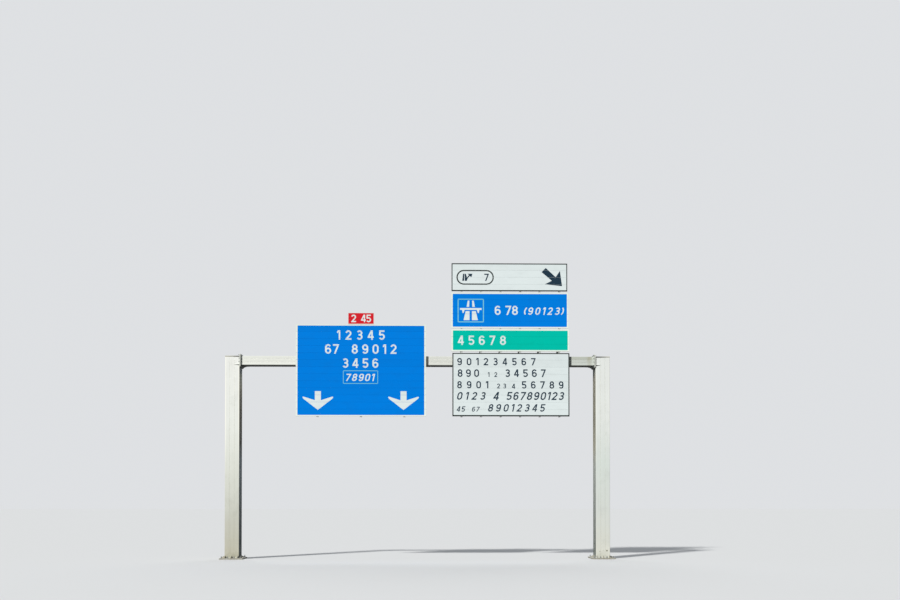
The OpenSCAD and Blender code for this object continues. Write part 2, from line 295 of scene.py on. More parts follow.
def post_finish(side, inward, front_tones, inner_reflection_tones, stains, gleam, painted_shade):
    """Finish of a post, with its tones as (height, red, green, blue); those of its inner face are painted
    reflections. inward is the sign of X on its side towards the road, gleam is how bright a painted highlight
    on the rounded edges of its front gets towards the top, and the last argument gives painted shade: how
    dark the painted shadows next to the flange and under the cap get, and how far the one under the cap
    reaches outwards."""
    _, high, centre, half = box(side + "_post")
    edge_w = 0.045
    gusset_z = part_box("beam")[0].z + GUSSET_UP
    flange_shadow, cap_shadow, cap_reach = painted_shade
    f = Finish(side + "_post_aluminium")
    colour, *surface = extruded(f, WHITE, (0.006, 0.006, 2), (f.x, centre.x, half.x), (f.y, 0, half.y))
    wave = f.noise((0.18, 0.3, 0.25), 23, 4, 0.65)
    height = f.plus(f.z, f.times(f.minus(wave, 0.5), 1.2))
    toned = f.bands(height, front_tones)
    colour = f.add("VectorMath", toned, colour, operation="MULTIPLY").outputs[0]
    splash = f.ramp(f.plus(f.z, f.times(wave, 0.5)), 0.2, 0.65, 0.35, 0)
    colour = f.mix(splash, colour, GRIME)
    across = f.minus(f.x, centre.x)
    rim = f.ramp(f.minus(f.size(across), half.x - edge_w), 0, 0.004)
    rim = f.times(rim, f.ramp(f.size(f.ny), 0.5, 0.9))
    outward = f.minus(0.5, f.times(across, inward / 2 / half.x))
    flanged = f.times(f.ramp(f.z, gusset_z - 0.04, gusset_z), f.ramp(outward, 0.4, 0.5, 1, 0))
    # Painted highlight on the outer edges of the front and back, growing towards the top, and left off next
    # to the flange above the gusset
    gleams = f.times(f.ramp(f.z, 3, 6, 0, gleam), f.minus(1, flanged))
    colour = f.mix(f.times(rim, gleams), colour, srgb(252, 252, 242))
    # Painted shadow of the flange on the edge of the face next to it, above the gusset
    colour = f.mix(f.times(f.times(rim, flanged), flange_shadow), colour, MOSS_AND_SHADE)
    # Painted shadow of the cap on the top of the post, deepest next to the flange
    below = f.ramp(outward, 0, cap_reach, cap_shadow, 0)
    below = f.times(f.ramp(f.z, high.z - 0.02, high.z - 0.014), below)
    colour = f.mix(below, colour, srgb(40, 42, 36))
    # Painted reflection of the surroundings on the inner face, with painted light in its pale band near the
    # top of the left post
    inner_reflection = f.shade(f.bands(height, inner_reflection_tones), f.ramp(wave, 0.3, 0.7, 0.85, 1.12))
    colour = f.mix(f.ramp(f.times(f.nx, inward), 0.6, 0.9), colour, inner_reflection)
    for *place, reach, depth in stains:
        away = f.add("VectorMath", f.point, place, operation="DISTANCE").outputs["Value"]
        ragged = f.plus(away, f.times(f.noise((0.03, 0.03, 0.02), place[0], 3), reach * 0.9))
        colour = f.mix(f.ramp(ragged, reach * 0.9, reach * 1.35, depth, 0), colour, MOSS_AND_SHADE)
    return f.done(colour, *surface, specular=0.02)


def beam_finish():
    """Finish of the beam: darker towards the right, most on its front near the right end, with an olive band
    and a pale strip there, and a painted highlight along the lower edge of its front
    """
    low, high, middle, half = box("beam")
    darker_from_x = 5.05
    f = Finish("beam_aluminium")
    colour, *surface = extruded(f, BARE, (2.5, 0.005, 0.005), (f.z, middle.z, half.z), (f.y, 0, half.y))
    wave = f.noise((0.15, 0.2, 0.2), 31, 4, 0.65)
    late = f.ramp(f.x, darker_from_x - 0.4, darker_from_x + 0.1)
    front = f.front()
    upper = f.ramp(f.minus(f.z, middle.z), 0.02, 0.08)
    # Darker towards the right, and darker still on the front near the right end
    colour = f.shade(colour, f.ramp(f.x, -1, 0.2, 1, 0.89))
    darker_front = f.mix(upper, srgb(194, 201, 196), srgb(178, 184, 174))
    colour = f.mix(f.times(f.times(late, front), 0.8), colour, darker_front)
    from_end = f.minus(high.x, f.x)
    # An olive band and a pale strip on the front near the right end
    blotches = f.times(f.near(from_end, 0.19, 0.16), f.ramp(wave, 0.3, 0.6, 0.25, 0.7))
    colour = f.mix(f.times(blotches, front), colour, srgb(164, 162, 138))
    # Painted highlight along the lower edge of the front
    lower_edge_highlight = f.times(f.near(f.z, low.z + 0.06, 0.035), front)
    colour = f.shade(colour, f.plus(1, f.times(lower_edge_highlight, 0.12)))
    pale_strip = f.times(f.ramp(from_end, 0.07, 0.11, 0.85, 0), front)
    return f.done(f.mix(pale_strip, colour, srgb(204, 211, 204)), *surface, specular=0.02)


def plate_finish(name, tone, roughness=0.5):
    """Sawn and welded aluminium plate"""
    f = Finish(name)
    patch = f.noise((0.12, 0.12, 0.12), 2, 5, 0.65)
    brush = f.noise((0.03, 0.004, 0.03), 8, 3, 0.6)
    streak = f.noise((0.02, 0.02, 0.5), 4)
    colour = f.shade(tone, f.ramp(brush, 0.2, 0.8, 0.95, 1.03))
    colour = f.soiled(colour, patch, 0.45, 0.8, 0.45)
    colour = f.soiled(colour, streak, 0.6, 0.85, 0.3)
    rough = f.ramp(patch, 0.3, 0.7, roughness - 0.08, roughness + 0.15)
    normal = f.bump(patch, 0.0012, Normal=f.bump(brush, 0.0005))
    # Painted shade on the faces that look down
    return f.done(f.shade_below(colour, 0.9), rough, normal, 0.1, 0.15)


def cap_finish():
    """Cap plates with a pale upper edge and a band of painted shade below it, and painted shade that makes
    both darker towards the flanges
    """
    f = Finish("cap_dark")
    patch = f.noise((0.08, 0.08, 0.05), 6, 5, 0.65)
    low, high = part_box("right_post_cap")
    rim = high.z - 0.014
    outward = f.times(f.minus(f.size(f.x), low.x), 1 / (high.x - low.x))
    outward = f.plus(outward, f.ramp(f.x, -1, 1, 0.22, 0))
    # Painted shade: the dark band under the pale edge, and the darkening of both towards the flanges
    painted_shade = f.mix(f.ramp(patch, 0.35, 0.7), srgb(34, 35, 28), srgb(64, 62, 46))
    dark = f.mix(f.ramp(outward, 0.4, 1.15), painted_shade, srgb(168, 166, 146))
    pale = f.mix(f.ramp(outward, 0.1, 0.9), painted_shade, srgb(206, 205, 184))
    colour = f.mix(f.ramp(f.z, rim - 0.002, rim + 0.002), dark, pale)
    grime = f.mix(f.ramp(patch, 0.3, 0.7), srgb(176, 180, 176), srgb(132, 133, 122))
    colour = f.mix(f.ramp(f.nz, 0.6, 0.9), colour, grime)
    return f.done(colour, 0.8, f.bump(patch, 0.001), specular=0.1)


def foot_finish():
    """Galvanised foot plates and stiffeners with splashed grime"""
    f = Finish("foot_galvanised")
    patch = f.noise((0.15, 0.15, 0.1), 12, 5, 0.65)
    edge = f.noise((0.03, 0.03, 0.03), 13)
    colour = f.mix(f.times(f.spangle(0.02), 0.5), srgb(168, 171, 166), srgb(190, 193, 189))
    colour = f.mix(f.ramp(patch, 0.35, 0.65, 0.1, 0.75), colour, srgb(150, 140, 116))
    colour = f.soiled(colour, edge, 0.62, 0.75, 0.6, RUST)
    return f.done(colour, f.ramp(patch, 0.3, 0.7, 0.5, 0.8), f.bump(edge, 0.0015), 0.25, 0.4)


def galvanised(name, tone):
    f = Finish(name)
    grain = f.spangle(0.012)
    patch = f.noise((0.05, 0.05, 0.08), 14)
    colour = f.shade(tone, f.ramp(grain, 0, 1, 0.9, 1.06))
    # Painted shade on the faces that look down
    colour = f.shade_below(f.soiled(colour, patch, 0.5, 0.8, 0.45), 0.5)
    return f.done(colour, f.ramp(grain, 0, 1, 0.38, 0.55), f.bump(patch, 0.0006), 0.6, 0.5)


def threaded_finish():
    """Zinc-plated rod along Y with a rolled thread"""
    f = Finish("rod_zinc")
    pitch = 0.002
    turn = f.math("SINE", f.times(f.y, 2 * pi / pitch))
    patch = f.noise((0.01, 0.05, 0.01), 15)
    colour = f.soiled(srgb(178, 178, 166), patch, 0.5, 0.8, 0.6, srgb(120, 112, 92))
    return f.done(colour, 0.42, f.bump(turn, 0.0004), 0.7, 0.5)


def weld_finish():
    f = Finish("weld_bead")
    patch = f.noise((0.006, 0.006, 0.006), 16, 3)
    blotches = f.noise((0.06, 0.06, 0.06), 17, 3)
    colour = f.mix(f.ramp(patch, 0.35, 0.65), srgb(196, 198, 192), srgb(222, 223, 218))
    colour = f.soiled(colour, blotches, 0.5, 0.7, 0.5)
    return f.done(colour, f.ramp(patch, 0.3, 0.7, 0.35, 0.55), f.bump(patch, 0.0008), 0.5)


def support_finish():
    """Mill-finish aluminium section, drawn along Z, with a lighter tone on its front that is painted light,
    and a smoother, more metallic front
    """
    f = Finish("support_aluminium")
    lines = f.noise((0.004, 0.004, 1.5), 18, 3)
    patch = f.noise((0.1, 0.1, 0.4), 20, 4, 0.6)
    streak = f.noise((0.012, 0.012, 0.6), 21)
    colour = f.shade(srgb(234, 236, 230), f.ramp(lines, 0.2, 0.8, 0.95, 1.03))
    colour = f.soiled(colour, patch, 0.45, 0.75, 0.35)
    colour = f.soiled(colour, streak, 0.55, 0.8, 0.35)
    # Painted light: the front is lighter, and it is also smoother and more metallic
    bright_front = f.front()
    colour = f.mix(bright_front, colour, srgb(246, 247, 244))
    rough = f.minus(f.ramp(patch, 0.3, 0.7, 0.42, 0.6), f.times(bright_front, 0.2))
    return f.done(colour, rough, f.bump(lines, 0.0004), f.ramp(bright_front, 0, 1, 0.35, 0.9), 0.4)


def plank_back_finish():
    """Bare back and ribs of the planks, drawn along X"""
    f = Finish("plank_back_aluminium")
    lines = f.noise((1.5, 0.004, 0.003), 22, 3)
    patch = f.noise((0.5, 0.2, 0.15), 24, 5, 0.6)
    streak = f.noise((0.015, 0.05, 0.4), 25)
    colour = f.shade(srgb(198, 202, 200), f.ramp(lines, 0.2, 0.8, 0.93, 1.03))
    colour = f.soiled(colour, patch, 0.45, 0.75, 0.4, srgb(150, 152, 140))
    colour = f.soiled(colour, streak, 0.55, 0.8, 0.35)
    return f.done(colour, f.ramp(patch, 0.3, 0.7, 0.45, 0.65), f.bump(lines, 0.0004), 0.35, 0.4)


def film_finish(name, tone, sign, fade=0.05, joint_tone=0.9):
    """Retroreflective film on planks: a fine cell grid, grime at the joints and runs below them"""
    f = Finish(name)
    patch = f.noise((0.5, 0.5, 0.25), 26, 4, 0.6)
    streak = f.noise((0.02, 0.5, 0.45), 27, 4, 0.6)
    count = f.times(f.minus(f.z, sign.low.z), 1 / sign.pitch)
    plank = f.math("FLOOR", count)
    share = f.minus(count, plank)
    per_plank = f.math("FRACT", f.times(f.math("SINE", f.times(f.plus(plank, 1.3), 12.9)), 43.7))
    colour = f.shade(tone, f.ramp(per_plank, 0, 1, 1 - fade * 0.6, 1 + fade * 0.4))
    colour = f.shade(colour, f.ramp(patch, 0.4, 0.75, 1, 1 - fade))
    joint = f.times(f.math("MINIMUM", share, f.minus(1, share)), sign.pitch)
    ragged = f.plus(joint, f.times(f.noise((0.08, 0.5, 0.01), 28, 3), 0.006))
    colour = f.shade(colour, f.ramp(ragged, 0.003, 0.012, joint_tone, 1))
    drips = f.times(f.ramp(streak, 0.55, 0.8), f.ramp(share, 0.55, 1))
    colour = f.shade(colour, f.ramp(drips, 0, 1, 1, 0.92 - fade))
    grid = f.ramp(f.cells(FILM_CELL, "DISTANCE_TO_EDGE", "Distance"), 0, 0.08)
    colour = f.shade(colour, f.ramp(grid, 0, 1, 0.97, 1))
    normal = f.bump(f.noise((0.9, 0.9, 0.12), 29, 2), 0.0012, Normal=f.bump(grid, 0.00008))
    return f.done(colour, f.ramp(patch, 0.3, 0.7, 0.34, 0.5), normal, specular=0.03)


def shown(name, data):
    """An object in the scene with that mesh, lamp or camera"""
    thing = bpy.data.objects.new(name, data)
    bpy.context.scene.collection.objects.link(thing)
    return thing


class Build:
    """Collects the faces of one mesh piece. Each face has the number of its material."""

    def __init__(self):
        self.points, self.faces, self.kinds = [], [], []

    def add(self, points, faces, kinds=None, place=None):
        start = len(self.points)
        self.points += [place @ Vector(p) for p in points] if place else points
        self.faces += [[start + i for i in face] for face in faces]
        self.kinds += kinds or [0] * len(faces)

    def add_parts(self, parts, place):
        for points, faces in parts:
            self.add(points, faces, place=place)

    def prism(self, outline, start, end, upright=True, kinds=None):
        """Extrudes an outline in X and Y along Z, or one in Y and Z along X. kinds gives the materials of its
        sides, and its ends have the last one."""
        count = len(outline)
        points = [(a, b, c) if upright else (c, a, b) for c in (start, end) for a, b in outline]
        faces = [[i, (i + 1) % count, count + (i + 1) % count, count + i] for i in range(count)]
        faces += [range(count), range(count, 2 * count)]
        self.add(points, faces, kinds and kinds + [kinds[-1]] * 2)

    def finish(self, name, materials, nodes=(), smooth=False):
        mesh = bpy.data.meshes.new(name)
        mesh.from_pydata(self.points, [], self.faces)
        for material in materials:
            mesh.materials.append(material)
        mesh.polygons.foreach_set("material_index", self.kinds)
        mesh.polygons.foreach_set("use_smooth", [smooth] * len(self.faces))
        outward = bmesh.new()
        outward.from_mesh(mesh)
        bmesh.ops.recalc_face_normals(outward, faces=outward.faces)
        outward.to_mesh(mesh)
        outward.free()
        piece = shown(name, mesh)
        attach(piece, "root")
        if nodes:
            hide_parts(*nodes)


class Sign:
    """A panel of the frame: its box, its planks and the finish of its films"""

    def __init__(self, node, name, slot, colour):
        self.node, self.name, self.slot = node, name, slot
        self.low, self.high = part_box(node + "_frame")
        self.width = self.high.x - self.low.x
        self.height = self.high.z - self.low.z
        self.count = max(2, round(self.height / PLANK_H))
        self.pitch = self.height / self.count
        joint_tone = 0.9 if colour == FILM_WHITE else 0.96
        self.ground = film_finish(name + "_sign_film", colour, self, joint_tone=joint_tone)
        self.films = {}

    def film(self, kind):
        """Finish of a film of that kind, made once for each sign"""
        if kind not in self.films:
            tone, fade, _ = FILMS[kind]
            self.films[kind] = film_finish(f"{self.name}_sign_{kind}", tone, self, fade)
        return self.films[kind]

    def joints(self):
        return [self.low.z + i * self.pitch for i in range(1, self.count)]

    def spans(self, edge):
        """Lowest and highest Z of each plank, less edge at the joints"""
        joints = self.joints()
        return zip([self.low.z + EDGE_T] + [z + edge for z in joints],
                   [z - edge for z in joints] + [self.high.z - EDGE_T])


def plank_outline(face, low, high, round_low, round_high):
    """Section of a plank in Y and Z: a face with its upper and lower edges rounded back into short returns"""
    def end(z, turn, rounded):
        """Outer and inner points at the end that turn, 1 or -1, points to, from the return to the face"""
        if not rounded:
            return [(face, z)], [(face + SKIN_T, z)]
        arc = [(face + SHOULDER * (1 - sin(a)), z - turn * SHOULDER * (1 - cos(a)))
               for a in (pi / 8 * i for i in range(5))]
        inner_z = z - turn * SKIN_T
        return [(face + RETURN_D, z)] + arc, [(face + RETURN_D, inner_z), (face + SKIN_T, inner_z)]

    (outer, inner), (outer_high, inner_high) = end(low, -1, round_low), end(high, 1, round_high)
    return outer + outer_high[::-1], inner + inner_high[::-1]


def make_planks(sign, bare):
    """The panel's planks: film on the front, and bare ribs that end in a lip behind each joint"""
    build = Build()
    face, back = sign.low.y, sign.high.y
    for i, (low, high) in enumerate(sign.spans(JOINT_GAP)):
        outer, inner = plank_outline(face, low, high, i > 0, i < sign.count - 1)
        kinds = [0] * (len(outer) - 1) + [1] * (len(inner) + 1)
        build.prism(outer + inner[::-1], sign.low.x + EDGE_T, sign.high.x - EDGE_T, False, kinds)
    web_front, lip_front = face + RETURN_D - SKIN_T, back - EDGE_T
    for z, turn in product(sign.joints(), (-1, 1)):
        root = z + turn * JOINT_GAP
        web, tip = root + turn * SKIN_T, root + turn * RIB_LIP
        outline = [(web_front, root), (back, root), (back, tip), (lip_front, tip), (lip_front, web),
                   (web_front, web)]
        build.prism(outline, sign.low.x + RIB_END, sign.high.x - RIB_END, False, [1] * 6)
    build.finish(sign.name + "_sign_planks", [sign.ground, bare], [sign.node])


def edges(polygon):
    """Each corner with the next one, all round"""
    return zip(polygon, polygon[1:] + polygon[:1])


def clip(polygon, axis, limit, keep):
    """Part of a convex polygon on the side of limit that keep, 1 or -1, points to"""
    result = []
    for here, there in edges(polygon):
        a, b = (here[axis] - limit) * keep, (there[axis] - limit) * keep
        if a >= 0:
            result.append(here)
        if a * b < 0:
            t = a / (a - b)
            result.append((here[0] + t * (there[0] - here[0]), here[1] + t * (there[1] - here[1])))
    return result


def area(polygon):
    return sum(a[0] * b[1] - b[0] * a[1] for a, b in edges(polygon)) / 2


def holds(polygon, point):
    """Whether a point is in a convex polygon, whose corners run anticlockwise"""
    return all((b[0] - a[0]) * (point.y - a[1]) > (b[1] - a[1]) * (point.x - a[0]) - 1e-9
               for a, b in edges(polygon))


def make_film(sign, part, kind, shapes):
    """Thin film of a kind, cut at the plank joints. shapes are convex polygons in X and Z from the lower left
    corner of the sign."""
    build = Build()
    front, sunk = sign.low.y - FILM_T, sign.low.y + FILM_SINK
    for low, high in sign.spans(JOINT_GAP + SHOULDER):
        points, faces = [], []
        for shape in shapes:
            placed = [(sign.low.x + x, sign.low.z + z) for x, z in shape]
            cut = clip(clip(placed, 1, low, 1), 1, high, -1)
            if abs(area(cut)) > SMALLEST_AREA:
                if area(cut) < 0:
                    cut.reverse()
                faces.append(list(range(len(points), len(points) + len(cut))))
                points += cut
        if not faces:
            continue
        flat, _, triangles, _, _, origins = delaunay_2d_cdt([Vector(p) for p in points], [], faces, 0, 1e-6)
        kept = [tri for tri, origin in zip(triangles, origins)
                if any(holds([points[k] for k in faces[i]], sum((flat[k] for k in tri), Vector((0, 0))) / 3)
                       for i in origin)]
        sides = [side for tri in kept for side in edges(tri)]
        shared = set(sides)
        count = len(flat)
        shell = kept + [[count + i for i in reversed(tri)] for tri in kept]
        shell += [[b, a, count + a, count + b] for a, b in sides if (b, a) not in shared]
        build.add([(p.x, y, p.y) for y in (front, sunk) for p in flat], shell)
    build.finish(f"{sign.name}_{part}", [sign.film(kind)])


def curve(centre_x, centre_z, radius_x, radius_z, start, end, step=12):
    count = max(2, round(abs(end - start) / step))
    angles = [radians(start + (end - start) * i / count) for i in range(count + 1)]
    return [(centre_x + radius_x * cos(a), centre_z + radius_z * sin(a)) for a in angles]


def stroke(line, width):
    """Four-sided pieces along a line of points, mitred where it turns. A line that ends where it starts is
    closed."""
    points = [Vector(p) for p in line]
    closed = (points[0] - points[-1]).length < 1e-6
    if closed:
        points.pop()
    ways = [(b - a).normalized() for a, b in edges(points)]
    if not closed:
        ways[-1] = ways[-2]
    sides = []
    for i, (point, second) in enumerate(zip(points, ways)):
        first = ways[i - 1 if i or closed else 0]
        across = Vector((-first.y - second.y, first.x + second.x)).normalized()
        reach = min(width / 2 / max(across.dot(Vector((-first.y, first.x))), 0.2), width * 1.6)
        sides.append((tuple(point + across * reach), tuple(point - across * reach)))
    pieces = [[a[0], a[1], b[1], b[0]] for a, b in edges(sides)]
    return pieces if closed else pieces[:-1]


# Plain figures one unit high, as lines that are stroked
STROKE = 0.165
FIGURE_W = 0.64
NARROW_W = {"1": 0.34, "(": 0.24, ")": 0.24}
TALL = "()"
SLANT = 0.22
EDGE = STROKE / 2
MID = FIGURE_W / 2
TOP = 1 - EDGE
ROUND = MID - EDGE
BOWL = 0.24
WAIST = 0.52
UPPER, LOWER = (TOP + WAIST) / 2, (WAIST + EDGE) / 2
UPPER_R, LOWER_R = (TOP - WAIST) / 2, (WAIST - EDGE) / 2
SIX = [curve(MID, TOP - BOWL, ROUND, BOWL, 28, 180) + [(EDGE, EDGE + BOWL)],
       curve(MID, EDGE + BOWL, ROUND, BOWL, 0, 360)]
FIGURES = {
    "0": [curve(MID, TOP - 0.25, ROUND, 0.25, 0, 180) + curve(MID, EDGE + 0.25, ROUND, 0.25, 180, 360)
          + [(MID + ROUND, TOP - 0.25)]],
    "1": [[(-0.02, 0.75), (0.34 - EDGE, 1.03), (0.34 - EDGE, -0.02)]],
    "2": [curve(MID, TOP - 0.235, ROUND, 0.235, 165, -30) + [(0.1, EDGE), (FIGURE_W, EDGE)]],
    "3": [curve(MID, UPPER, ROUND - 0.02, UPPER_R, 152, -90), curve(MID, LOWER, ROUND, LOWER_R, 90, -152),
          [(MID - 0.1, WAIST), (MID + 0.02, WAIST)]],
    "4": [[(0.5, 1.14), (0.075, 0.28), (FIGURE_W, 0.28)], [(0.46, 0), (0.46, 1)]],
    "5": [[(FIGURE_W - 0.04, TOP), (0.125, TOP), (0.105, 0.47)],
          curve(MID - 0.01, EDGE + BOWL, ROUND + 0.01, BOWL, 142, -150)],
    "6": SIX,
    "7": [[(0, TOP), (FIGURE_W - 0.09, TOP), (0.17, -0.06)]],
    "8": [curve(MID, UPPER, ROUND - 0.03, UPPER_R, 0, 360), curve(MID, LOWER, ROUND, LOWER_R, 0, 360)],
    "9": [[(FIGURE_W - x, 1 - z) for x, z in line] for line in SIX],
    "(": [curve(0.66, 0.5, 0.55, 0.62, 132, 228)],
    ")": [curve(-0.42, 0.5, 0.55, 0.62, 48, -48)],
}


def figure_rows(*rows):
    """Convex pieces of rows of figures, each given as its text, left, right, base and height, and True if it
    is slanted"""
    shapes = []
    for text, x, right, base, height, *slanted in rows:
        widths = [NARROW_W.get(c, FIGURE_W) for c in text]
        slant = SLANT if slanted else 0
        spare = right - x - slant * height - sum(widths) * height
        gap = spare / max(1, len(text) - 1)
        for c, width in zip(text, widths):
            for piece in (piece for line in FIGURES[c] for piece in stroke(line, STROKE)):
                if c not in TALL:
                    for axis, limit, keep in ((0, 0, 1), (0, width, -1), (1, 0, 1), (1, 1, -1)):
                        piece = clip(piece, axis, limit, keep)
                shapes.append([(x + (px + slant * pz) * height, base + pz * height) for px, pz in piece])
            x += width * height + gap
    return shapes


# Turns of the corners of a box from its middle, and the angle where the arc in each one starts
CORNERS = ((1, 1, 0), (-1, 1, 90), (-1, -1, 180), (1, -1, 270))


def oblong(left, low, right, high):
    return [(left, low), (right, low), (right, high), (left, high)]


def rounded_box(left, low, right, high, radius, width):
    """A closed outline with rounded corners, as strokes"""
    path = []
    for turn_x, turn_z, start in CORNERS:
        x, z = right if turn_x > 0 else left, high if turn_z > 0 else low
        path += curve(x - turn_x * radius, z - turn_z * radius, radius, radius, start, start + 90, 15)
    return stroke(path + path[:1], width)


def border(sign, side, bottom, top, radius):
    """Band along the sign's edges, as wide as side at its two ends, with rounded inner corners"""
    low, right, high = EDGE_T, sign.width - EDGE_T, sign.height - EDGE_T
    inner_l, inner_r, inner_b, inner_t = side, sign.width - side, bottom, sign.height - top
    shapes = [oblong(low, low, right, inner_b), oblong(low, inner_t, right, high),
              oblong(low, inner_b, inner_l, inner_t), oblong(inner_r, inner_b, right, inner_t)]
    for turn_x, turn_z, start in CORNERS:
        x, z = inner_r if turn_x > 0 else inner_l, inner_t if turn_z > 0 else inner_b
        arc = curve(x - turn_x * radius, z - turn_z * radius, radius, radius, start, start + 90, 18)
        shapes += [[(x, z), a, b] for a, b in zip(arc, arc[1:])]
    return shapes


def down_arrow(x):
    """Lane arrow that points down, its middle at x"""
    shaft, top, junction, tip = 0.125, 1.03, 0.655, 0.256
    barb, barb_z = 0.63, 0.774
    slope = (barb_z - 0.03 - tip) / barb
    under = tip + slope * shaft
    left, right = x - shaft, x + shaft
    shapes = [oblong(left, junction, right, top),
              [(left, under), (x, tip), (right, under), (right, junction), (left, junction)]]
    wing = [(shaft, under), (barb - 0.035, tip + slope * (barb - 0.035)), (barb - 0.006, barb_z - 0.016),
            (barb, barb_z + 0.006), (barb - 0.01, barb_z + 0.026), (barb - 0.038, barb_z + 0.03),
            (shaft, junction)]
    return shapes + [[(x + turn * px, pz) for px, pz in wing] for turn in (-1, 1)]


def exit_arrow():
    """Arrow that points down to the right, towards the exit"""
    tail_high, tail_low = (3.897, 0.971), (3.723, 0.799)
    neck_low, neck_high = (4.151, 0.44), (4.31, 0.592)
    barb_low, tip, barb_high = (3.856, 0.294), (4.575, 0.216), (4.486, 0.852)
    return [[tail_high, tail_low, neck_low, neck_high], [neck_low, barb_low, tip], [neck_low, tip, neck_high],
            [neck_high, tip, barb_high]]


def branch_symbol():
    """A road with a branch that leaves it to the right"""
    low, high, fork = 0.424, 0.72, 0.555
    shapes = [[(0.441, low), (0.516, low), (0.53, high), (0.475, high)],
              [(0.549, low), (0.633, low), (0.638, fork), (0.59, high), (0.541, high)],
              [(0.66, high), (0.818, high - 0.148), (0.862, high)]]
    return shapes + stroke([(0.602, 0.45), (0.645, 0.535), (0.7, 0.61), (0.762, 0.665)], 0.05)


def motorway_symbol():
    """Two carriageways that pass under a bridge"""
    middle, deck_low, deck_high = 0.807, 0.752, 0.827
    half = ([(0.05, 0.326), (0.296, 0.326), (0.21, 0.7), (0.05, 0.7)],
            [(0.066, 0.868), (0.172, 0.868), (0.124, 1.136), (0.056, 1.136)],
            [(0.254, deck_low), (0.355, deck_low), (0.338, 0.624), (0.296, 0.624)])
    sides = [[(middle + turn * x, z) for x, z in shape] for turn in (-1, 1) for shape in half]
    return [oblong(0.364, deck_low, 1.255, deck_high)] + sides


# Fasteners and welds
def turned(levels, sides):
    """A closed turned shape from its levels of height and radius"""
    around = [2 * pi * i / sides for i in range(sides)]
    points = [(r * cos(a), r * sin(a), z) for z, r in levels for a in around]
    faces = [range(sides), range(len(points) - sides, len(points))]
    for a in range(0, len(points) - sides, sides):
        b = a + sides
        faces += [[a + i, a + (i + 1) % sides, b + (i + 1) % sides, b + i] for i in range(sides)]
    return points, faces


def bolted_end(size, stub):
    """Washer, nut and the end of a bolt of that thread size, standing on Z = 0"""
    washer_t, washer_r, nut_r = 0.16 * size, 1.08 * size, 0.92 * size
    top = washer_t + 0.85 * size
    parts = [turned([(0, size), (0, washer_r), (washer_t, washer_r)], 20),
             turned([(washer_t, nut_r * 0.93), (washer_t + 0.08 * size, nut_r), (top - 0.1 * size, nut_r),
                     (top, nut_r * 0.86)], 6)]
    if stub:
        parts.append(turned([(top - 0.002, size / 2), (top + stub - 0.12 * size, size / 2),
                             (top + stub, size * 0.4)], 14))
    return parts


def facing(point, direction, turn):
    """Places a shape that stands on Z = 0 at a point, standing along direction"""
    spin = Matrix.Rotation(turn, 4, "Z")
    return Matrix.Translation(point) @ Vector(direction).to_track_quat("Z", "Y").to_matrix().to_4x4() @ spin


def make_flange_bolts(side, turn, steel):
    """Bolts through both flange plates: heads towards the span on the left, and nuts on the right"""
    inner, outer = [bolted_end(BOLT_SIZE, stub) for stub in (0, BOLT_END)[::-turn]]
    build = Build()
    low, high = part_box(side + "_beam_flange")
    front = low.x if turn > 0 else high.x
    behind = front + turn * 2 * (high.x - low.x)
    row_y, top = high.y - BOLT_EDGE, high.z - BOLT_EDGE
    spots = [(j * row_y, top - i * BOLT_PITCH) for j in (-1, 1) for i in range(BOLT_ROWS)]
    spots += [((2 * i / (BOLT_COLUMNS + 1) - 1) * row_y, top) for i in range(1, BOLT_COLUMNS + 1)]
    for k, (y, z) in enumerate(spots):
        angle = 0.37 * k
        build.add_parts(inner, facing((front, y, z), (-turn, 0, 0), angle))
        build.add_parts(outer, facing((behind, y, z), (turn, 0, 0), angle + 0.2))
    build.finish(side + "_flange_bolts", [steel])


def make_anchors(side, steel):
    """Anchor bolts with square washers on a base plate"""
    anchor = bolted_end(ANCHOR_SIZE, ANCHOR_END)
    build = Build()
    _, high, middle, _ = box(side + "_base")
    top, half = high.z + ANCHOR_PLATE_T, ANCHOR_PLATE
    for (i, x), (j, y) in product(enumerate(ANCHORS_X), enumerate(ANCHORS_Y)):
        x += middle.x
        build.prism(oblong(x - half, y - half, x + half, y + half), high.z, top)
        build.add_parts(anchor, facing((x, y, top), UP, i + 2.1 * j))
    build.finish(side + "_anchor_bolts", [steel])


def make_clips(name, signs, supports, steel):
    """Clamp dogs that hold the lips of the ribs to the front flange of each support"""
    build = Build()
    bolt = bolted_end(0.01, 0.008)
    plate_t, half_h, overlap, reach, foot = 0.007, 0.017, 0.016, 0.026, 0.008
    for support in supports:
        low, high, centre, half = box(support)
        seat = low.y + SUPPORT_FLANGE_T
        back = seat + plate_t
        joints = [z for sign in signs for z in sign.joints() if low.z < z < high.z]
        for z, turn in product(joints, (-1, 1)):
            inner = centre.x + turn * (half.x - overlap)
            outer = centre.x + turn * (half.x + reach)
            toe = outer - turn * foot
            outline = [(inner, seat), (toe, seat), (toe, low.y), (outer, low.y), (outer, back), (inner, back)]
            build.prism(outline, z - half_h, z + half_h)
            spot = (centre.x + turn * (half.x + reach / 2 - 0.003), back, z)
            build.add_parts(bolt, facing(spot, (0, 1, 0), z * 7))
    build.finish(name, [steel])


